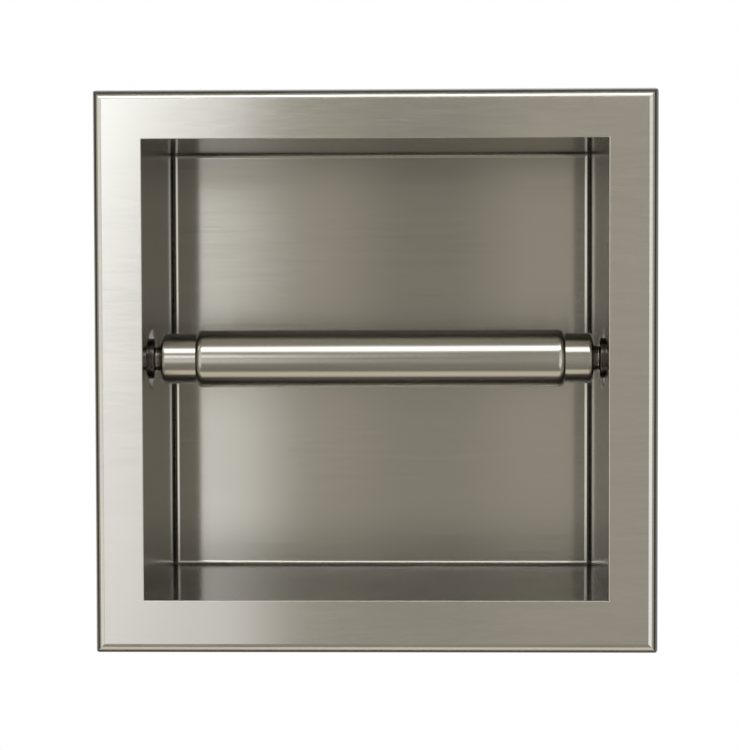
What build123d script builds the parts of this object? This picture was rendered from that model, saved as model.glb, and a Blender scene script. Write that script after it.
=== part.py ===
from build123d import *
import math
import os

os.makedirs("parts", exist_ok=True)

# A toilet paper holder that is let into the wall. Millimetres; X to the right, Y into the wall, Z up.
# The origin is the centre of the hole in the wall, on the wall's front face.

# Flange and recess, folded from stainless sheet
SHEET = 0.8
FLANGE_SIZE = 156.0        # 6 1/8 in square
FLANGE_DEPTH = 3.5         # wall face to the front of the flange
FLANGE_DROP = 0.6          # flange's middle below the middle of the opening
FLANGE_CORNER = 1.3        # ground round where the rims meet
RIM_BEND = 2.7             # outer radius of the folded rim
OPENING_WIDTH = 128.6
OPENING_HEIGHT = 127.6
OPENING_EDGE = 0.25        # edge round of the cut-out
RECESS_DEPTH = 80.0        # front of the flange to the inside of the back
BACK_BEND = 1.5            # inner radius of the bends at the back
LIP = 8.0                  # outward lip of the recess, spot welded behind the flange

# Sockets pressed outwards in the side walls, for the ends of the roller
ROLLER_SETBACK = 22.5      # front of the flange to the roller's axis
ROLLER_HEIGHT = 2.5        # roller's axis above the middle of the recess
SOCKET_DEPTH = 3.2
SOCKET_MOUTH = 9.2         # radius where the shallow flank meets the wall
SOCKET_THROAT = 6.3        # radius where the steep flank begins
SOCKET_THROAT_DEPTH = 1.3
SOCKET_FLOOR = 4.8         # radius of the floor
SOCKET_MOUTH_ROUND = 4.0
SOCKET_THROAT_ROUND = 1.5
SOCKET_FLOOR_ROUND = 0.8

# Roller: a sleeve that floats on two sprung end barrels
RUNNING_GAP = 0.05         # radial, between the sliding pieces
SLEEVE_RADIUS = 8.25
SLEEVE_WALL = 0.5
SLEEVE_LENGTH = 104.6
SLEEVE_SHIFT = 1.0         # how far right of the middle the sleeve rests
SLEEVE_END_BEND = 2.4      # outer radius of the rolled-in ends
BARREL_RADIUS = 7.2
BARREL_WALL = 0.6
BARREL_LENGTH = 24.0
BARREL_END_BEND = 1.3
BARREL_TO_WALL = 3.0
TIP_NECK_BASE = 3.9        # radius where the tip meets the barrel
TIP_NECK_RADIUS = 3.4      # where it meets its own head
TIP_HEAD_RADIUS = 5.8
TIP_HEAD_PROUD = 1.15      # head's inner face to the side wall
TIP_ROUND = 2.0
TIP_EDGE_ROUND = 0.4
TIP_SHANK_RADIUS = 2.5
TIP_SHANK_LENGTH = 4.4
TIP_TO_SOCKET = 0.2
RING_RADIUS = 5.0
RING_THICKNESS = 0.5
COLLAR_FLANGE = 3.0
COLLAR_PLUG = 6.0
COLLAR_BORE = 2.0
SPIGOT_RADIUS = 4.2
SPIGOT_LENGTH = 5.0
SPRING_RADIUS = 5.2        # to the middle of the wire
SPRING_WIRE = 1.1
SPRING_TURNS = 18
SPRING_END_GAP = 0.1

# Rear bracket and its screws, set for half-inch wallboard
WALL_THICKNESS = 12.7
STRAP = 1.5
STRAP_WIDTH = 28.0
STRAP_BEND = 2.5           # outer radius of its bends
FOOT_CORNER = 3.0
BRACKET_SPAN = 155.0       # over both feet
BRACKET_INSIDE = 140.0     # between the legs
BRACKET_REACH = 70.0       # front of the feet to the inside of the bridge
SCREW_SPACING = 76.0
SCREW_RADIUS = 2.0
SCREW_LENGTH = 25.0
SCREW_POINT = 0.7
HEAD_RADIUS = 4.0
HEAD_HEIGHT = 2.6
HEAD_ROUND = 1.5
CROSS_LENGTH = 4.4
CROSS_WIDTH = 1.0
CROSS_DEPTH = 1.6
WASHER_RADIUS = 4.5
WASHER_HOLE = 2.15
WASHER_THICKNESS = 0.8
NUT_SIZE = 7.0
NUT_THICKNESS = 3.2
NUT_CORNER = 0.6
HOLE_IN_BACK = 2.25
HOLE_IN_STRAP = 2.4

# Worked out from the above
FRONT = -FLANGE_DEPTH
PLATE_REAR = FRONT + SHEET
BACK_INSIDE = FRONT + RECESS_DEPTH
HALF_WIDTH = OPENING_WIDTH / 2
ROLLER_Y = FRONT + ROLLER_SETBACK
ROLLER_PLANE = Plane(origin=(0, ROLLER_Y, ROLLER_HEIGHT), x_dir=(1, 0, 0), z_dir=(0, 0, 1))
SLEEVE_PLANE = Plane(origin=(SLEEVE_SHIFT, ROLLER_Y, ROLLER_HEIGHT), x_dir=(1, 0, 0), z_dir=(0, 0, 1))
ROLLER_AXIS = Axis((0, ROLLER_Y, ROLLER_HEIGHT), (1, 0, 0))
SLEEVE_BORE = SLEEVE_RADIUS - SLEEVE_WALL
SLEEVE_LIP = BARREL_RADIUS + RUNNING_GAP
BARREL_BORE = BARREL_RADIUS - BARREL_WALL
BARREL_END = HALF_WIDTH - BARREL_TO_WALL
BARREL_INNER_END = BARREL_END - BARREL_LENGTH
SPRING_SEAT = BARREL_INNER_END - COLLAR_FLANGE
SPIGOT_END = SPRING_SEAT - SPIGOT_LENGTH
TIP_HEAD_START = HALF_WIDTH - TIP_HEAD_PROUD
TIP_END = HALF_WIDTH + SOCKET_DEPTH - TIP_TO_SOCKET
BRIDGE_INSIDE = WALL_THICKNESS + BRACKET_REACH
BRIDGE_OUTSIDE = BRIDGE_INSIDE + STRAP
WASHER_FRONT = BACK_INSIDE - WASHER_THICKNESS
HEAD_FRONT = WASHER_FRONT - HEAD_HEIGHT
SCREW_END = WASHER_FRONT + SCREW_LENGTH
HANDS = (("left", -1), ("right", 1))


def save(builder, name):
    """Label a finished piece and write its STEP file."""
    builder.part.label = name
    export_step(builder.part, f"parts/{name}.step")


def folded_block(width, height, sharp_y, bent_y, radius):
    """A block whose four edges at bent_y are rounded and meet in mitres."""
    middle_y = (sharp_y + bent_y) / 2
    depth = abs(bent_y - sharp_y)
    bent_side = -1 if bent_y > sharp_y else 0
    with BuildPart() as block:
        with BuildSketch(Plane.XY) as plan:
            with Locations((0, middle_y)):
                Rectangle(width, depth)
            fillet(plan.vertices().group_by(Axis.Y)[bent_side], radius)
        extrude(amount=height / 2, both=True)
        with BuildSketch(Plane.YZ) as elevation:
            with Locations((middle_y, 0)):
                Rectangle(depth, height)
            fillet(elevation.vertices().group_by(Axis.X)[bent_side], radius)
        extrude(amount=width / 2, both=True, mode=Mode.INTERSECT)
    return block.part


def socket_plug(side, skin):
    """The solid that fills a side wall's socket, made larger all round by the skin's thickness."""
    wall = HALF_WIDTH + skin
    corners = (
        (HALF_WIDTH - SHEET / 2, 0, 0),
        (wall + SOCKET_DEPTH, 0, 0),
        (wall + SOCKET_DEPTH, SOCKET_FLOOR + skin / 2, SOCKET_FLOOR_ROUND + skin),
        (wall + SOCKET_THROAT_DEPTH, SOCKET_THROAT + skin / 2, SOCKET_THROAT_ROUND - skin),
        (wall, SOCKET_MOUTH, SOCKET_MOUTH_ROUND - skin),
        (wall, SOCKET_MOUTH + SOCKET_MOUTH_ROUND, 0),
        (HALF_WIDTH - SHEET / 2, SOCKET_MOUTH + SOCKET_MOUTH_ROUND, 0),
    )
    points = [(side * distance, radius) for distance, radius, _ in corners]
    rounds = [corner_round for _, _, corner_round in corners]
    with BuildPart() as plug:
        with BuildSketch(ROLLER_PLANE):
            with BuildLine():
                FilletPolyline(*points, radius=rounds, close=True)
            make_face()
        revolve(axis=ROLLER_AXIS)
    return plug.part


# Flange: a plate whose rim is folded back towards the wall
FLANGE_INSIDE = FLANGE_SIZE - 2 * SHEET
flange_outer = folded_block(FLANGE_SIZE, FLANGE_SIZE, 0, FRONT, RIM_BEND)
flange_hollow = folded_block(FLANGE_INSIDE, FLANGE_INSIDE, 0, PLATE_REAR, RIM_BEND - SHEET)
with BuildPart() as face_flange:
    with Locations((0, 0, -FLANGE_DROP)):
        add(flange_outer)
        add(flange_hollow, mode=Mode.SUBTRACT)
    with BuildSketch(Plane.XZ.offset(-FRONT)):
        with Locations((0, -FLANGE_DROP)):
            RectangleRounded(FLANGE_SIZE, FLANGE_SIZE, FLANGE_CORNER)
    extrude(amount=-FLANGE_DEPTH, mode=Mode.INTERSECT)
    with BuildSketch(Plane.XZ.offset(-FRONT)):
        Rectangle(OPENING_WIDTH, OPENING_HEIGHT)
    extrude(amount=-FLANGE_DEPTH, mode=Mode.SUBTRACT)
    front_edges = face_flange.edges().filter_by_position(Axis.Y, FRONT, FRONT)
    fillet([edge for edge in front_edges if edge.length <= OPENING_WIDTH + SHEET], OPENING_EDGE)
save(face_flange, "face_flange")

# Recess: a folded pan, with a lip on each wall's front edge and a pressed socket in each side wall
PAN_WIDTH = OPENING_WIDTH + 2 * SHEET
PAN_HEIGHT = OPENING_HEIGHT + 2 * SHEET
pan_outer = folded_block(PAN_WIDTH, PAN_HEIGHT, PLATE_REAR, BACK_INSIDE + SHEET, BACK_BEND + SHEET)
pan_hollow = folded_block(OPENING_WIDTH, OPENING_HEIGHT, PLATE_REAR, BACK_INSIDE, BACK_BEND)
socket_shells = [socket_plug(side, SHEET) for _, side in HANDS]
socket_hollows = [socket_plug(side, 0) for _, side in HANDS]
with BuildPart() as recess_box:
    add(pan_outer)
    with BuildSketch(Plane.XZ.offset(-PLATE_REAR)):
        Rectangle(OPENING_WIDTH + 2 * LIP, PAN_HEIGHT)
        Rectangle(PAN_WIDTH, OPENING_HEIGHT + 2 * LIP)
    extrude(amount=-SHEET)
    add(socket_shells)
    add(pan_hollow, mode=Mode.SUBTRACT)
    add(socket_hollows, mode=Mode.SUBTRACT)
    with BuildSketch(Plane.XZ.offset(-BACK_INSIDE)):
        with GridLocations(SCREW_SPACING, 0, 2, 1):
            Circle(HOLE_IN_BACK)
    extrude(amount=-SHEET, mode=Mode.SUBTRACT)
save(recess_box, "recess_box")

# Roller sleeve: a tube whose ends are rolled in around the barrels
ROLL_DROP = SLEEVE_RADIUS - SLEEVE_LIP
ROLL_RUN = math.sqrt(SLEEVE_END_BEND**2 - (SLEEVE_END_BEND - ROLL_DROP) ** 2)
CLOSED_LENGTH = SLEEVE_LENGTH + 2 * (SLEEVE_END_BEND - ROLL_RUN)
with BuildPart() as roller_sleeve:
    with BuildSketch(SLEEVE_PLANE):
        RectangleRounded(CLOSED_LENGTH, 2 * SLEEVE_RADIUS, SLEEVE_END_BEND)
        RectangleRounded(
            CLOSED_LENGTH - 2 * SLEEVE_WALL,
            2 * SLEEVE_BORE,
            SLEEVE_END_BEND - SLEEVE_WALL,
            mode=Mode.SUBTRACT,
        )
        Rectangle(CLOSED_LENGTH, 2 * SLEEVE_LIP, mode=Mode.SUBTRACT)
        with Locations((0, -SLEEVE_RADIUS)):
            Rectangle(CLOSED_LENGTH, 2 * SLEEVE_RADIUS, mode=Mode.SUBTRACT)
    revolve(axis=ROLLER_AXIS)
save(roller_sleeve, "roller_sleeve")

# The pieces at each end of the roller
for hand, side in HANDS:
    # Barrel: a drawn cup with a hole in its end for the tip
    barrel_profile = (
        (BARREL_END, TIP_SHANK_RADIUS, 0),
        (BARREL_END, BARREL_RADIUS, BARREL_END_BEND),
        (BARREL_INNER_END, BARREL_RADIUS, 0),
        (BARREL_INNER_END, BARREL_BORE, 0),
        (BARREL_END - BARREL_WALL, BARREL_BORE, BARREL_END_BEND - BARREL_WALL),
        (BARREL_END - BARREL_WALL, TIP_SHANK_RADIUS, 0),
    )
    # Tip: a round-nosed pin with a shank through the end of the barrel
    tip_profile = (
        (BARREL_END - TIP_SHANK_LENGTH, 0, 0),
        (BARREL_END - TIP_SHANK_LENGTH, TIP_SHANK_RADIUS, 0),
        (BARREL_END, TIP_SHANK_RADIUS, 0),
        (BARREL_END, TIP_NECK_BASE, 0),
        (TIP_HEAD_START, TIP_NECK_RADIUS, TIP_EDGE_ROUND),
        (TIP_HEAD_START, TIP_HEAD_RADIUS, TIP_EDGE_ROUND),
        (TIP_END, TIP_HEAD_RADIUS, TIP_ROUND),
        (TIP_END, 0, 0),
    )
    # Push-on ring that holds the tip's shank
    ring_profile = (
        (BARREL_END - BARREL_WALL, TIP_SHANK_RADIUS, 0),
        (BARREL_END - BARREL_WALL, RING_RADIUS, 0),
        (BARREL_END - BARREL_WALL - RING_THICKNESS, RING_RADIUS, 0),
        (BARREL_END - BARREL_WALL - RING_THICKNESS, TIP_SHANK_RADIUS, 0),
    )
    # Guide collar: a plug in the barrel, a flange that runs in the sleeve, a spigot in the spring
    collar_profile = (
        (BARREL_INNER_END + COLLAR_PLUG, COLLAR_BORE, 0),
        (BARREL_INNER_END + COLLAR_PLUG, BARREL_BORE, 0),
        (BARREL_INNER_END, BARREL_BORE, 0),
        (BARREL_INNER_END, SLEEVE_BORE - RUNNING_GAP, 0),
        (SPRING_SEAT, SLEEVE_BORE - RUNNING_GAP, 0),
        (SPRING_SEAT, SPIGOT_RADIUS, 0),
        (SPIGOT_END, SPIGOT_RADIUS, 0),
        (SPIGOT_END, COLLAR_BORE, 0),
    )
    turned_pieces = (
        ("end_barrel", barrel_profile),
        ("pivot_tip", tip_profile),
        ("tip_ring", ring_profile),
        ("guide_collar", collar_profile),
    )
    for name, corners in turned_pieces:
        with BuildPart() as turned_piece:
            with BuildSketch(ROLLER_PLANE):
                with BuildLine():
                    FilletPolyline(
                        *[(side * distance, radius) for distance, radius, _ in corners],
                        radius=[corner_round for _, _, corner_round in corners],
                        close=True,
                    )
                make_face()
            revolve(axis=ROLLER_AXIS)
        save(turned_piece, f"{hand}_{name}")

# Spring between the two guide collars
SPRING_LENGTH = 2 * (SPRING_SEAT - SPRING_END_GAP) - SPRING_WIRE
with BuildPart() as roller_spring:
    with BuildLine() as coil:
        Helix(
            pitch=SPRING_LENGTH / SPRING_TURNS,
            height=SPRING_LENGTH,
            radius=SPRING_RADIUS,
            center=(-SPRING_LENGTH / 2, ROLLER_Y, ROLLER_HEIGHT),
            direction=(1, 0, 0),
        )
    with BuildSketch(Plane(origin=coil.line @ 0, z_dir=coil.line % 0)):
        Circle(SPRING_WIRE / 2)
    sweep(is_frenet=True)
save(roller_spring, "roller_spring")

# Rear bracket: a strap round the back of the recess, with a foot outwards on each leg
with BuildPart() as rear_bracket:
    with BuildSketch(Plane.XY):
        with BuildLine():
            strap_line = FilletPolyline(
                (-BRACKET_SPAN / 2, WALL_THICKNESS),
                (-BRACKET_INSIDE / 2, WALL_THICKNESS),
                (-BRACKET_INSIDE / 2, BRIDGE_INSIDE),
                (BRACKET_INSIDE / 2, BRIDGE_INSIDE),
                (BRACKET_INSIDE / 2, WALL_THICKNESS),
                (BRACKET_SPAN / 2, WALL_THICKNESS),
                radius=[STRAP_BEND, STRAP_BEND - STRAP, STRAP_BEND - STRAP, STRAP_BEND],
            )
            offset(strap_line, amount=STRAP, side=Side.LEFT)
        make_face()
    extrude(amount=STRAP_WIDTH / 2, both=True)
    along_y = rear_bracket.edges().filter_by(Axis.Y)
    fillet(along_y.filter_by_position(Axis.Y, WALL_THICKNESS, WALL_THICKNESS + STRAP), FOOT_CORNER)
    with BuildSketch(Plane.XZ.offset(-BRIDGE_INSIDE)):
        with GridLocations(SCREW_SPACING, 0, 2, 1):
            Circle(HOLE_IN_STRAP)
    extrude(amount=-STRAP, mode=Mode.SUBTRACT)
save(rear_bracket, "rear_bracket")

# Screws through the back of the recess, their washers, and the nuts welded to the strap
for hand, side in HANDS:
    screw_x = side * SCREW_SPACING / 2
    with BuildPart() as bracket_screw:
        with BuildSketch(Plane.YZ.offset(screw_x)):
            with BuildLine():
                FilletPolyline(
                    (HEAD_FRONT, 0),
                    (HEAD_FRONT, HEAD_RADIUS),
                    (WASHER_FRONT, HEAD_RADIUS),
                    (WASHER_FRONT, SCREW_RADIUS),
                    (SCREW_END - SCREW_POINT, SCREW_RADIUS),
                    (SCREW_END, SCREW_RADIUS - SCREW_POINT),
                    (SCREW_END, 0),
                    radius=[0, HEAD_ROUND, 0, 0, 0, 0, 0],
                    close=True,
                )
            make_face()
        revolve(axis=Axis((screw_x, 0, 0), (0, 1, 0)))
        with BuildSketch(Plane.XZ.offset(-HEAD_FRONT)):
            with Locations((screw_x, 0)):
                Rectangle(CROSS_LENGTH, CROSS_WIDTH)
                Rectangle(CROSS_WIDTH, CROSS_LENGTH)
        extrude(amount=-CROSS_DEPTH, mode=Mode.SUBTRACT)
    save(bracket_screw, f"{hand}_bracket_screw")

    with BuildPart() as screw_washer:
        with BuildSketch(Plane.XZ.offset(-WASHER_FRONT)):
            with Locations((screw_x, 0)):
                Circle(WASHER_RADIUS)
                Circle(WASHER_HOLE, mode=Mode.SUBTRACT)
        extrude(amount=-WASHER_THICKNESS)
    save(screw_washer, f"{hand}_screw_washer")

    with BuildPart() as weld_nut:
        with BuildSketch(Plane.XZ.offset(-BRIDGE_OUTSIDE)):
            with Locations((screw_x, 0)):
                RectangleRounded(NUT_SIZE, NUT_SIZE, NUT_CORNER)
                Circle(SCREW_RADIUS + RUNNING_GAP, mode=Mode.SUBTRACT)
        extrude(amount=-NUT_THICKNESS)
    save(weld_nut, f"{hand}_weld_nut")
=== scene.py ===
import math
import bmesh
import bpy
from mathutils import Matrix, Vector


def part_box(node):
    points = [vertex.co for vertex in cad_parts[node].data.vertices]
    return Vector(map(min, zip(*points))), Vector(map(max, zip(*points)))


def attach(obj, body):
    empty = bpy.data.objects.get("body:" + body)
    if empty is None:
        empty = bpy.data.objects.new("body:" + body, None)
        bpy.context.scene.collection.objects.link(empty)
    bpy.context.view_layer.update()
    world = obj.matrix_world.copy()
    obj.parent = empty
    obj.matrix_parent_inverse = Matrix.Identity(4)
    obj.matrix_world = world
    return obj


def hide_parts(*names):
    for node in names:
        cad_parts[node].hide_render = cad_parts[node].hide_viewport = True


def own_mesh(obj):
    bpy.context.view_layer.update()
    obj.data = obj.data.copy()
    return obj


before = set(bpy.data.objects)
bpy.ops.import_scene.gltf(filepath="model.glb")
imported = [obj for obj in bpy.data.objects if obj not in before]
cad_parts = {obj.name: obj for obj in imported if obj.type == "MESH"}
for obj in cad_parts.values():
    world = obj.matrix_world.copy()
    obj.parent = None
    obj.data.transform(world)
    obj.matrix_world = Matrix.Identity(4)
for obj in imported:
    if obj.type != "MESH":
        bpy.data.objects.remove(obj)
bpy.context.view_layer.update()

MM = 0.001

# The camera, placed in the part's own frame: metres, and degrees turned from looking straight along +Y
CAMERA_PLACE = (15.84 * MM, -644.87 * MM, 26.16 * MM)
CAMERA_YAW = 1.553
CAMERA_PITCH = -2.449
CAMERA_ROLL = -0.163
CAMERA_LENS = 111.83
CLIP_START = 0.01


def make_camera():
    camera = bpy.data.objects.new("camera", bpy.data.cameras.new("camera"))
    bpy.context.scene.collection.objects.link(camera)
    camera.data.lens = CAMERA_LENS
    camera.data.clip_start = CLIP_START
    turn = Matrix.Rotation(math.radians(CAMERA_YAW), 4, "Z")
    turn = turn @ Matrix.Rotation(math.radians(90 + CAMERA_PITCH), 4, "X")
    turn = turn @ Matrix.Rotation(math.radians(CAMERA_ROLL), 4, "Z")
    camera.matrix_world = Matrix.Translation(CAMERA_PLACE) @ turn
    bpy.context.scene.camera = camera


# The room: its radiance in front of the wall, beside it and behind it, over the share of the way from
# straight in front to straight behind
ROOM_FRONT = (0.46, 0.43, 0.36)
ROOM_SIDES = (0.07, 0.065, 0.055)
ROOM_REAR = (0.32, 0.31, 0.29)
ROOM_STOPS = ((0.33, ROOM_FRONT), (0.41, ROOM_SIDES), (0.55, ROOM_SIDES), (0.70, ROOM_REAR))

# It dims away from eye level, and again towards the ground: sines of the elevation, then the two levels
EYE_LEVEL_FADE = (0.12, 0.42)
EYE_LEVEL_TONES = (1, 0.68)
GROUND_FADE = (-0.95, -0.6)
GROUND_TONES = (0.45, 1)

# Softboxes a long way off, in front of the holder and, for the bracket, behind it. Each runs from a first
# to a last azimuth, in degrees right of the way out of the wall, and from a lowest to a highest elevation.
# Then come the width of its soft edge in degrees, its radiance and its colour.
SOFTBOX_DISTANCE = 3.0
COOL = (0.97, 1.0, 1.03)
NEUTRAL = (1.0, 0.99, 0.96)
WARM = (1.0, 0.9, 0.74)
SOFTBOXES = {
    "left_low": (-17, -9.5, -16, 0.5, 4, 0.85, COOL),
    "left_low_inner": (-9.5, -4.8, -16, -0.2, 3, 0.62, COOL),
    "left_high": (-17, -8.5, 2.5, 17, 4, 1.9, COOL),
    "left_high_inner": (-8.5, -5.3, 7.2, 16, 3, 1.9, COOL),
    "left_far": (-56, -20, -32, 30, 6, 0.6, NEUTRAL),
    "above": (-14, 56, 33, 52, 5, 2.6, NEUTRAL),
    "right_low": (15, 50, -35, 0, 4, 0.8, COOL),
    "right_high": (15, 50, 0, 27, 4, 0.5, COOL),
    "below": (-60, 60, -90, -53, 6, 0.78, WARM),
    "rear_key": (-165, -125, -10, 45, 10, 1.0, NEUTRAL),
    "rear_fill": (150, 185, 15, 60, 10, 0.7, NEUTRAL),
}


def add_math(nodes, links, operation, first, second=0.0):
    """A math node on one or two inputs, each a socket or a number."""
    node = nodes.new("ShaderNodeMath")
    node.operation = operation
    for slot, value in zip(node.inputs, (first, second)):
        if isinstance(value, (int, float)):
            slot.default_value = value
        else:
            links.new(value, slot)
    return node.outputs[0]


def add_range(nodes, links, value, source, target):
    """A map range node on a socket, from the source pair of numbers to the target pair."""
    node = nodes.new("ShaderNodeMapRange")
    for name, number in zip(("From Min", "From Max", "To Min", "To Max"), (*source, *target)):
        node.inputs[name].default_value = number
    links.new(value, node.inputs["Value"])
    return node.outputs[0]


def add_edge_distance(nodes, links, share):
    """The share of the way across, measured from the nearer of the two edges."""
    other = add_math(nodes, links, "SUBTRACT", 1.0, share)
    return add_math(nodes, links, "MINIMUM", share, other)


def add_axes(nodes, links, space):
    """The X, Y and Z of a texture coordinate."""
    place = nodes.new("ShaderNodeTexCoord")
    split = nodes.new("ShaderNodeSeparateXYZ")
    links.new(place.outputs[space], split.inputs[0])
    return split.outputs


def add_mesh(name, places, faces):
    """A mesh object from its corners, in millimetres, and its faces."""
    mesh = bpy.data.meshes.new(name)
    mesh.from_pydata([[MM * c for c in place] for place in places], [], faces)
    piece = bpy.data.objects.new(name, mesh)
    bpy.context.scene.collection.objects.link(piece)
    return piece


def glow_material(name, color):
    """A surface that shines evenly in one colour."""
    material = bpy.data.materials.new(name)
    material.use_nodes = True
    nodes = material.node_tree.nodes
    nodes.clear()
    glow = nodes.new("ShaderNodeEmission")
    glow.inputs["Color"].default_value = (*color, 1)
    out = nodes.new("ShaderNodeOutputMaterial")
    material.node_tree.links.new(glow.outputs[0], out.inputs["Surface"])
    return material


def soften_edges(light, width, height, soft):
    """Let the light's strength fall off to nothing over a band along its four edges."""
    light.use_nodes = True
    nodes, links = light.node_tree.nodes, light.node_tree.links
    place = nodes.new("ShaderNodeNewGeometry")
    across = nodes.new("ShaderNodeSeparateXYZ")
    links.new(place.outputs["Parametric"], across.inputs[0])
    falls = []
    for axis, size in (("X", width), ("Y", height)):
        nearest = add_edge_distance(nodes, links, across.outputs[axis])
        fall = nodes.new("ShaderNodeMapRange")
        fall.interpolation_type = "SMOOTHSTEP"
        fall.inputs["From Max"].default_value = soft / size
        links.new(nearest, fall.inputs["Value"])
        falls.append(fall.outputs[0])
    links.new(add_math(nodes, links, "MULTIPLY", *falls), nodes["Emission"].inputs["Strength"])


def make_lights():
    """Area lights in the directions of the softboxes, all facing the holder."""
    for name, (left, right, low, high, soft, radiance, color) in SOFTBOXES.items():
        width, height = right - left + soft, high - low + soft
        light = bpy.data.lights.new(name, "AREA")
        light.shape = "RECTANGLE"
        light.size = 2 * SOFTBOX_DISTANCE * math.tan(math.radians(width / 2))
        light.size_y = 2 * SOFTBOX_DISTANCE * math.tan(math.radians(height / 2))
        light.energy = radiance * light.size * light.size_y * math.pi
        light.color = color
        soften_edges(light, width, height, soft)
        lamp = bpy.data.objects.new(name, light)
        bpy.context.scene.collection.objects.link(lamp)
        out = Vector((0, -1, 0))
        out.rotate(Matrix.Rotation(math.radians(-(low + high) / 2), 3, "X"))
        out.rotate(Matrix.Rotation(math.radians((left + right) / 2), 3, "Z"))
        lamp.location = out * SOFTBOX_DISTANCE
        lamp.rotation_euler = out.to_track_quat("Z", "Y").to_euler()


def make_world():
    """The room's colour by direction."""
    world = bpy.data.worlds.new("studio")
    world.use_nodes = True
    bpy.context.scene.world = world
    nodes, links = world.node_tree.nodes, world.node_tree.links
    way = add_axes(nodes, links, "Generated")
    depth = add_range(nodes, links, way["Y"], (-1, 1), (0, 1))
    room = nodes.new("ShaderNodeValToRGB")
    stops = room.color_ramp.elements
    for stop, (position, color) in zip(stops, (ROOM_STOPS[0], ROOM_STOPS[-1])):
        stop.position, stop.color = position, (*color, 1)
    for position, color in ROOM_STOPS[1:-1]:
        stops.new(position).color = (*color, 1)
    links.new(depth, room.inputs["Fac"])
    links.new(room.outputs["Color"], nodes["Background"].inputs["Color"])
    ground = add_range(nodes, links, way["Z"], GROUND_FADE, GROUND_TONES)
    away = add_math(nodes, links, "ABSOLUTE", way["Z"])
    dimmed = add_range(nodes, links, away, EYE_LEVEL_FADE, EYE_LEVEL_TONES)
    links.new(add_math(nodes, links, "MULTIPLY", ground, dimmed), nodes["Background"].inputs["Strength"])


# The lens shade, in millimetres from the camera, and in shares of the card's own width and height
SHADE_SPAN = (-64, 58)       # left and right of the camera, to the far side of the card's soft edges
SHADE_HEIGHT = (-190, 95)    # below and above it
SHADE_GAP = 20               # from the camera back to the card
SHADE_SOFT = 0.35            # width of a soft edge
SHADE_RISE = (0.45, 0.75)    # where the foot's tone turns into the head's
SHADE_TONES = (0.36, 0.24)   # radiance of the foot and the head


def make_lens_shade():
    """A dark upright card just behind the camera, as a photographer's stand; the steel mirrors it."""
    (left, right), (low, high) = SHADE_SPAN, SHADE_HEIGHT
    card = add_mesh("lens_shade", [(left, 0, low), (right, 0, low), (right, 0, high), (left, 0, high)],
                    [(0, 1, 2, 3)])
    card.location = (CAMERA_PLACE[0], CAMERA_PLACE[1] - SHADE_GAP * MM, CAMERA_PLACE[2])
    card.visible_camera = False
    material = glow_material("shade_gray", ROOM_FRONT)
    nodes, links = material.node_tree.nodes, material.node_tree.links
    place = add_axes(nodes, links, "Generated")
    nearest = add_edge_distance(nodes, links, place["X"])
    inward = add_range(nodes, links, nearest, (0, SHADE_SOFT), (0, 1))
    upward = add_range(nodes, links, place["Z"], SHADE_RISE, SHADE_TONES)
    share = add_math(nodes, links, "DIVIDE", upward, ROOM_FRONT[1])
    loss = add_math(nodes, links, "SUBTRACT", 1.0, share)
    loss = add_math(nodes, links, "MULTIPLY", loss, inward)
    links.new(add_math(nodes, links, "SUBTRACT", 1.0, loss), nodes["Emission"].inputs["Strength"])
    card.data.materials.append(material)


BACKDROP_RADIUS = 5.0
FLOOR_SIZE = 9.0
FLOOR_HEIGHT = -0.3


def make_backdrop():
    """A pale shell and floor that only the camera sees."""
    white = glow_material("backdrop_white", (1, 1, 1))
    bpy.ops.mesh.primitive_uv_sphere_add(segments=32, ring_count=16, radius=BACKDROP_RADIUS)
    shell = bpy.context.object
    shell.name = "backdrop"
    bpy.ops.mesh.primitive_plane_add(size=FLOOR_SIZE, location=(0, 0, FLOOR_HEIGHT))
    floor = bpy.context.object
    floor.name = "floor"
    for thing in (shell, floor):
        thing.data.materials.append(white)
        thing.visible_diffuse = False
        thing.visible_glossy = False
        thing.visible_transmission = False
        thing.visible_volume_scatter = False
        thing.visible_shadow = False


NOISE_ROUGHNESS = 0.6
PATTERN_SPAN = (0.3, 0.7)    # where nearly all of a noise pattern's values lie


def base_material(name, roughness, anisotropy=0.0, edge_tint=1.0, metallic=1.0):
    """A material with the values that are the same all over it."""
    material = bpy.data.materials.new(name)
    material.use_nodes = True
    shader = material.node_tree.nodes["Principled BSDF"].inputs
    shader["Metallic"].default_value = metallic
    shader["Roughness"].default_value = roughness
    shader["Anisotropic"].default_value = anisotropy
    shader["Specular Tint"].default_value = (edge_tint, edge_tint, edge_tint, 1)
    return material


def stretched_noise(material, grain, detail=4.0):
    """Noise over the part's own space, with the given number of grains per metre along each axis."""
    nodes, links = material.node_tree.nodes, material.node_tree.links
    place = nodes.new("ShaderNodeTexCoord")
    stretch = nodes.new("ShaderNodeMapping")
    stretch.inputs["Scale"].default_value = grain
    links.new(place.outputs["Object"], stretch.inputs["Vector"])
    noise = nodes.new("ShaderNodeTexNoise")
    noise.inputs["Scale"].default_value = 1
    noise.inputs["Detail"].default_value = detail
    noise.inputs["Roughness"].default_value = NOISE_ROUGHNESS
    links.new(stretch.outputs[0], noise.inputs["Vector"])
    return noise.outputs["Fac"]


def set_tone(material, pattern, low, high, span=PATTERN_SPAN):
    """Colour the material from low to high over the pattern's span."""
    nodes, links = material.node_tree.nodes, material.node_tree.links
    ramp = nodes.new("ShaderNodeValToRGB")
    stops = ramp.color_ramp.elements
    for stop, position, color in zip(stops, span, (low, high)):
        stop.position, stop.color = position, (*color, 1)
    links.new(pattern, ramp.inputs["Fac"])
    links.new(ramp.outputs["Color"], nodes["Principled BSDF"].inputs["Base Color"])


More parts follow.
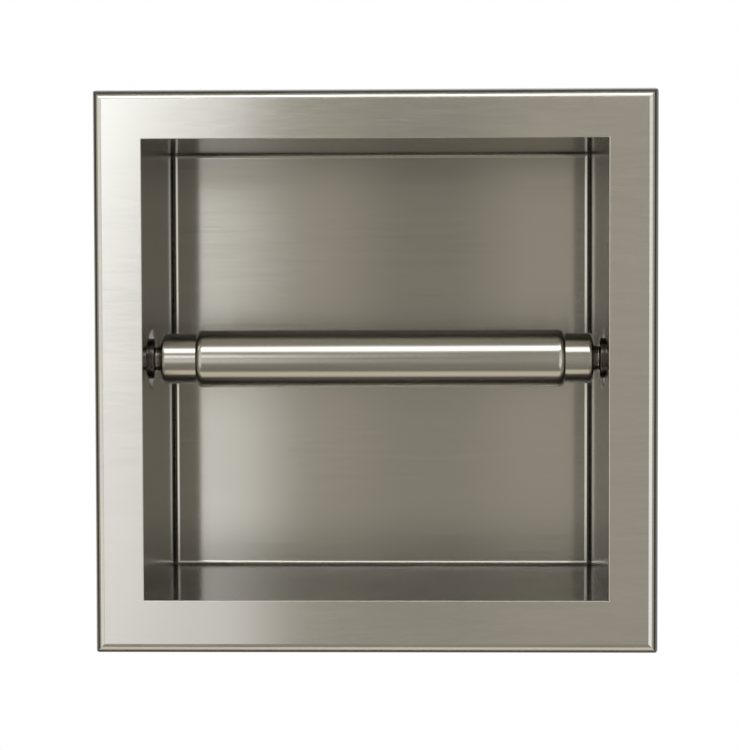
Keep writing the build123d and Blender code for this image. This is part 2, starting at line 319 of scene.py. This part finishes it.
def set_roughness(material, pattern, low, high, span=PATTERN_SPAN):
    """Roughen the material from low to high over the pattern's span."""
    nodes, links = material.node_tree.nodes, material.node_tree.links
    rough = add_range(nodes, links, pattern, span, (low, high))
    links.new(rough, nodes["Principled BSDF"].inputs["Roughness"])


def set_relief(material, pattern, strength, height):
    """Raise and lower the surface over the pattern by the given height, in millimetres."""
    nodes, links = material.node_tree.nodes, material.node_tree.links
    relief = nodes.new("ShaderNodeBump")
    relief.inputs["Strength"].default_value = strength
    relief.inputs["Distance"].default_value = height * MM
    links.new(pattern, relief.inputs["Height"])
    links.new(relief.outputs[0], nodes["Principled BSDF"].inputs["Normal"])


def set_tangent(material, direction):
    """The direction that brushed grain blurs reflections in, as the shader's tangent."""
    nodes, links = material.node_tree.nodes, material.node_tree.links
    across = nodes.new("ShaderNodeCombineXYZ")
    for axis, value in zip("XYZ", direction):
        across.inputs[axis].default_value = value
    links.new(across.outputs[0], nodes["Principled BSDF"].inputs["Tangent"])


def shade(color, factor):
    """The colour made lighter or darker by a factor."""
    return tuple(min(1, factor * c) for c in color)


CLOUD_STRETCH = 12           # clouds to grain lines, in size
CLOUD_GRAIN = 20             # clouds per metre, at least
CLOUD_DETAIL = 2.0
ROUGHNESS_SPREAD = 0.2       # share of the roughness, each way
GRAIN_HEIGHT = 0.01          # in millimetres


def brushed_steel(name, color, roughness, grain, contrast, clouds, relief, **finish):
    """Steel with fine grain lines over broad, faint clouds."""
    material = base_material(name, roughness, **finish)
    nodes, links = material.node_tree.nodes, material.node_tree.links
    lines = stretched_noise(material, grain)
    cloud = stretched_noise(material, [c / CLOUD_STRETCH + CLOUD_GRAIN for c in grain], CLOUD_DETAIL)
    share = clouds / (clouds + contrast)
    mixed = add_math(nodes, links, "ADD", add_math(nodes, links, "MULTIPLY", lines, 1 - share),
                     add_math(nodes, links, "MULTIPLY", cloud, share))
    spread = contrast + clouds
    set_tone(material, mixed, shade(color, 1 - spread), shade(color, 1 + spread))
    set_roughness(material, mixed, roughness * (1 - ROUGHNESS_SPREAD), roughness * (1 + ROUGHNESS_SPREAD))
    set_relief(material, lines, relief, GRAIN_HEIGHT)
    return material


def darken_by_radius(material, edge, tones):
    """Scale the colour with the distance from the roller's axis, from the first tone to the second: painted
    shade in the socket throats, a darker tone on the tips' heads.
    """
    low, high = [Vector(corner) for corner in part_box("roller_sleeve")]
    middle = (low + high) / 2
    nodes, links = material.node_tree.nodes, material.node_tree.links
    place = add_axes(nodes, links, "Object")
    squares = []
    for axis, center in (("Y", middle.y), ("Z", middle.z)):
        offset = add_math(nodes, links, "SUBTRACT", place[axis], center)
        squares.append(add_math(nodes, links, "MULTIPLY", offset, offset))
    radius = add_math(nodes, links, "SQRT", add_math(nodes, links, "ADD", *squares))
    share = add_range(nodes, links, radius, [distance * MM for distance in edge], tones)
    color = nodes["Principled BSDF"].inputs["Base Color"]
    scaled = nodes.new("ShaderNodeVectorMath")
    scaled.operation = "SCALE"
    links.new(color.links[0].from_socket, scaled.inputs[0])
    links.new(share, scaled.inputs["Scale"])
    links.new(scaled.outputs[0], color)


# Zinc plating: tones and roughness are shares of the sheet's own
CRYSTALS = 260               # per metre
CRYSTAL_TONES = (0.82, 1.12)
CRYSTAL_ROUGHNESS = (0.75, 1.3)
PEEL_GRAIN = (900, 900, 900)
PEEL_RELIEF = (0.3, 0.03)    # strength and height


def zinc_plate(name, color, roughness):
    """Zinc-plated sheet: large dull crystals, each with its own tone, over a fine orange peel."""
    material = base_material(name, roughness)
    nodes, links = material.node_tree.nodes, material.node_tree.links
    place = nodes.new("ShaderNodeTexCoord")
    cells = nodes.new("ShaderNodeTexVoronoi")
    cells.inputs["Scale"].default_value = CRYSTALS
    links.new(place.outputs["Object"], cells.inputs["Vector"])
    tone = nodes.new("ShaderNodeSeparateColor")
    links.new(cells.outputs["Color"], tone.inputs[0])
    set_tone(material, tone.outputs[0], *[shade(color, share) for share in CRYSTAL_TONES], (0, 1))
    set_roughness(material, tone.outputs[1], *[roughness * share for share in CRYSTAL_ROUGHNESS], (0, 1))
    set_relief(material, stretched_noise(material, PEEL_GRAIN), *PEEL_RELIEF)
    return material


# Drawn wire, in the same way
PATCH_GRAIN = (700, 700, 700)
PATCH_TONES = (0.7, 1.15)
PATCH_ROUGHNESS = (1.4, 0.8)
DRAWING_GRAIN = (2500, 2500, 2500)
DRAWING_RELIEF = (0.2, 0.01)


def drawn_wire(name, color, roughness):
    """Spring wire: oily dark patches over a fine drawn grain."""
    material = base_material(name, roughness)
    patches = stretched_noise(material, PATCH_GRAIN)
    set_tone(material, patches, *[shade(color, share) for share in PATCH_TONES])
    set_roughness(material, patches, *[roughness * share for share in PATCH_ROUGHNESS])
    set_relief(material, stretched_noise(material, DRAWING_GRAIN), *DRAWING_RELIEF)
    return material


# Nylon
SCATTER_WEIGHT = 0.15
SCATTER_RADIUS = (1.2, 1.0, 0.7)    # of red, green and blue light, in millimetres
NYLON_GRAIN = (350, 350, 350)
NYLON_TONES = (0.93, 1.04)
NYLON_ROUGHNESS = (0.36, 0.5)
MOULD_GRAIN = (3000, 3000, 3000)
MOULD_RELIEF = (0.15, 0.01)


def nylon(name, color):
    """Moulded nylon: slightly clouded and faintly glossy."""
    material = base_material(name, sum(NYLON_ROUGHNESS) / 2, metallic=0.0)
    shader = material.node_tree.nodes["Principled BSDF"].inputs
    shader["Subsurface Weight"].default_value = SCATTER_WEIGHT
    shader["Subsurface Radius"].default_value = [MM * radius for radius in SCATTER_RADIUS]
    clouds = stretched_noise(material, NYLON_GRAIN)
    set_tone(material, clouds, *[shade(color, share) for share in NYLON_TONES])
    set_roughness(material, clouds, *NYLON_ROUGHNESS)
    set_relief(material, stretched_noise(material, MOULD_GRAIN), *MOULD_RELIEF)
    return material


def dress(material, *names):
    """Give CAD nodes a material."""
    for name in names:
        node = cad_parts[name]
        node.data.materials.clear()
        node.data.materials.append(material)


def add_rings(name, rings, material):
    """A closed mesh through rings of places that have the same number of places each, capped at both ends."""
    count = len(rings[0])
    faces = [tuple(range(count))]
    for ring in range(len(rings) - 1):
        for step in range(count):
            near, far = ring * count + step, ring * count + (step + 1) % count
            faces.append((near, near + count, far + count, far))
    last = (len(rings) - 1) * count
    faces.append(tuple(reversed(range(last, last + count))))
    piece = add_mesh(name, [place for ring in rings for place in ring], faces)
    shape = bmesh.new()
    shape.from_mesh(piece.data)
    bmesh.ops.recalc_face_normals(shape, faces=shape.faces)
    shape.to_mesh(piece.data)
    shape.free()
    for face in piece.data.polygons:
        face.use_smooth = len(face.vertices) == 4
    piece.data.materials.append(material)
    return piece


# Spring: each half is pressed against the middle of the roller by the end slide on its own side
SPRING_TURNS = 9           # in each half
SPRING_STEPS = 24          # along one turn
WIRE_STEPS = 10            # around the wire
WIRE_RADIUS = 0.55


def add_spring_half(hand, side, material):
    """A coil from the middle of the roller to one end."""
    low, high = [Vector(corner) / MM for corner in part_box("roller_spring")]
    middle = (low + high) / 2
    coil_radius = (high.z - low.z) / 2 - WIRE_RADIUS
    half = (high.x - low.x) / 2 - WIRE_RADIUS
    rings = []
    for step in range(SPRING_TURNS * SPRING_STEPS + 1):
        share = step / (SPRING_TURNS * SPRING_STEPS)
        angle = side * 2 * math.pi * SPRING_TURNS * share
        out = Vector((0, math.cos(angle), math.sin(angle)))
        along = Vector((half, *(2 * math.pi * SPRING_TURNS * coil_radius * Vector((-out.z, out.y)))))
        center = middle + Vector((side * half * share, 0, 0)) + out * coil_radius
        other = along.cross(out).normalized()
        rings.append([
            center + WIRE_RADIUS * (math.cos(turn) * out + math.sin(turn) * other)
            for turn in (2 * math.pi * i / WIRE_STEPS for i in range(WIRE_STEPS))
        ])
    piece = add_rings(f"{hand}_spring_half", rings, material)
    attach(piece, "roller")
    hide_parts("roller_spring")
    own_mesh(piece)


# Screws: an M4 thread cut on the shank
THREAD_PITCH = 0.7
THREAD_DEPTH = 0.43
THREAD_STEPS = 24          # around the shank
THREAD_ROWS = 8            # along one pitch
SCREW_RADIUS = 2.0
SCREW_LENGTH = 25.0
POINT_LENGTH = 0.9
HEAD_OVERLAP = 0.05        # of the CAD head's cut over the shank


def add_threaded_screw(hand, material):
    """The CAD screw's own head, on a shank with a real thread."""
    node = f"{hand}_bracket_screw"
    low, high = [Vector(corner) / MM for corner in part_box(node)]
    center_x, center_z = (low.x + high.x) / 2, (low.z + high.z) / 2
    start = high.y - SCREW_LENGTH
    rings = []
    rows = int(SCREW_LENGTH / THREAD_PITCH * THREAD_ROWS)
    for row in range(rows + 1):
        along = SCREW_LENGTH * row / rows
        taper = min(1, (SCREW_LENGTH - along) / POINT_LENGTH)
        ring = []
        for step in range(THREAD_STEPS):
            turn = step / THREAD_STEPS
            groove = abs((along / THREAD_PITCH - turn) % 1 - 0.5) * 2
            radius = SCREW_RADIUS - THREAD_DEPTH * groove - THREAD_DEPTH * (1 - taper)
            angle = 2 * math.pi * turn
            across, up = radius * math.cos(angle), radius * math.sin(angle)
            ring.append((center_x + across, start + along, center_z + up))
        rings.append(ring)
    piece = add_rings(f"{hand}_threaded_screw", rings, material)
    head = bmesh.new()
    head.from_mesh(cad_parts[node].data)
    everything = head.verts[:] + head.edges[:] + head.faces[:]
    bmesh.ops.bisect_plane(head, geom=everything, plane_co=(0, (start + HEAD_OVERLAP) * MM, 0),
                           plane_no=(0, 1, 0), clear_outer=True)
    bmesh.ops.holes_fill(head, edges=[edge for edge in head.edges if edge.is_boundary])
    for face in head.faces:
        face.smooth = False
    head.from_mesh(piece.data)
    head.to_mesh(piece.data)
    head.free()
    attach(piece, f"{hand}_screw")
    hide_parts(node)


make_camera()
make_lights()
make_world()
make_backdrop()
make_lens_shade()
bpy.context.scene.view_settings.view_transform = "Standard"

FLANGE_STEEL = (0.62, 0.61, 0.59)
RECESS_STEEL = (0.56, 0.55, 0.52)
ROLLER_STEEL = (0.50, 0.485, 0.455)
TIP_STEEL = (0.34, 0.32, 0.29)
ZINC = (0.62, 0.64, 0.66)
WIRE_STEEL = (0.42, 0.41, 0.40)
NATURAL_NYLON = (0.86, 0.84, 0.77)

# Darkening by distance from the roller's axis in millimetres: painted shade in the throats of the sockets,
# and a darker tone on the heads of the tips that turn in them. The tones are shares of the steel's own
# colour.
THROAT_SHADE_EDGE = (6.1, 6.7)
THROAT_SHADE_TONE = 0.12
HEAD_EDGE = (4.2, 5.6)
HEAD_TONE = 0.3

# The sheet is brushed from side to side, which blurs reflections up and down
BLUR_DIRECTION = (0, 0.05, 1)

flange_satin = brushed_steel("flange_satin", FLANGE_STEEL, roughness=0.15, grain=(200, 200, 3200),
                             contrast=0.03, clouds=0.02, relief=0.06, anisotropy=1.0)
recess_satin = brushed_steel("recess_satin", RECESS_STEEL, roughness=0.14, grain=(60, 60, 4000),
                             contrast=0.015, clouds=0.01, relief=0.02, anisotropy=1.0, edge_tint=0.62)
for sheet in (flange_satin, recess_satin):
    set_tangent(sheet, BLUR_DIRECTION)
roller_satin = brushed_steel("roller_satin", ROLLER_STEEL, roughness=0.2, grain=(40, 3000, 3000),
                             contrast=0.03, clouds=0.02, relief=0.05)
tip_polish = brushed_steel("tip_polish", TIP_STEEL, roughness=0.2, grain=(4000, 300, 300),
                           contrast=0.1, clouds=0.05, relief=0.1)
# Painted shade: the steel in the sockets' throats darkened near the roller's axis; then a darker tone on the
# tips' heads
darken_by_radius(recess_satin, THROAT_SHADE_EDGE, (THROAT_SHADE_TONE, 1))
darken_by_radius(tip_polish, HEAD_EDGE, (1, HEAD_TONE))
zinc_sheet = zinc_plate("zinc_sheet", ZINC, roughness=0.38)
zinc_screw = brushed_steel("zinc_screw", ZINC, roughness=0.24, grain=(900, 900, 900),
                           contrast=0.06, clouds=0.04, relief=0.1)
spring_wire = drawn_wire("spring_wire", WIRE_STEEL, roughness=0.3)
white_nylon = nylon("white_nylon", NATURAL_NYLON)

dress(flange_satin, "face_flange")
dress(recess_satin, "recess_box")
dress(roller_satin, "roller_sleeve", "left_end_barrel", "right_end_barrel")
dress(tip_polish, "left_pivot_tip", "right_pivot_tip")
dress(zinc_sheet, "rear_bracket", "left_weld_nut", "right_weld_nut")
dress(zinc_screw, "left_screw_washer", "right_screw_washer", "left_bracket_screw", "right_bracket_screw")
dress(spring_wire, "left_tip_ring", "right_tip_ring", "roller_spring")
dress(white_nylon, "left_guide_collar", "right_guide_collar")

for hand, side in (("left", -1), ("right", 1)):
    add_spring_half(hand, side, spring_wire)
for hand in ("left", "right"):
    add_threaded_screw(hand, zinc_screw)
